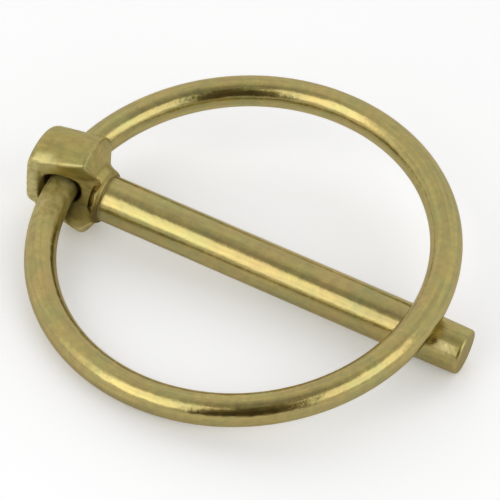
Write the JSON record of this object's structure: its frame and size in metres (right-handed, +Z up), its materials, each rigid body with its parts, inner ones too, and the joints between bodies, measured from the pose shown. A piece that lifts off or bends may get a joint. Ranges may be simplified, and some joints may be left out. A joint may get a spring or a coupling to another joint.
{
  "type": "lynch pin",
  "caption": "Headed steel pin with a round spring ring, hinged in its head, that snaps down over the tip and keeps the pin in its hole.",
  "frame": {"origin": "on the shank's axis, in the plane of the head's bearing face", "axes": "+Z up from the surface that the part lies on; +X from the head to the tip, in plan; +Y to the side where the ring is raised. The shank dips by 3.06 degrees towards the tip, and the part is rolled by 10.48 degrees, with -Y low."},
  "size_m": [0.0593, 0.0528, 0.0138],
  "materials": {
    "pin": "yellow zinc plating over cold-headed steel",
    "ring": "yellow zinc plating over drawn spring wire"
  },
  "bodies": {
    "pin": {"pin": "pin"},
    "ring": {"ring": "ring"}
  },
  "joints": [
    {"name": "ring_hinge", "type": "hinge", "parent": "pin", "child": "ring", "pos_m": [-0.00604, 0, 0.00032], "axis": [-0.0097, -0.9833, -0.1817], "range_deg": [0, 347]}
  ]
}
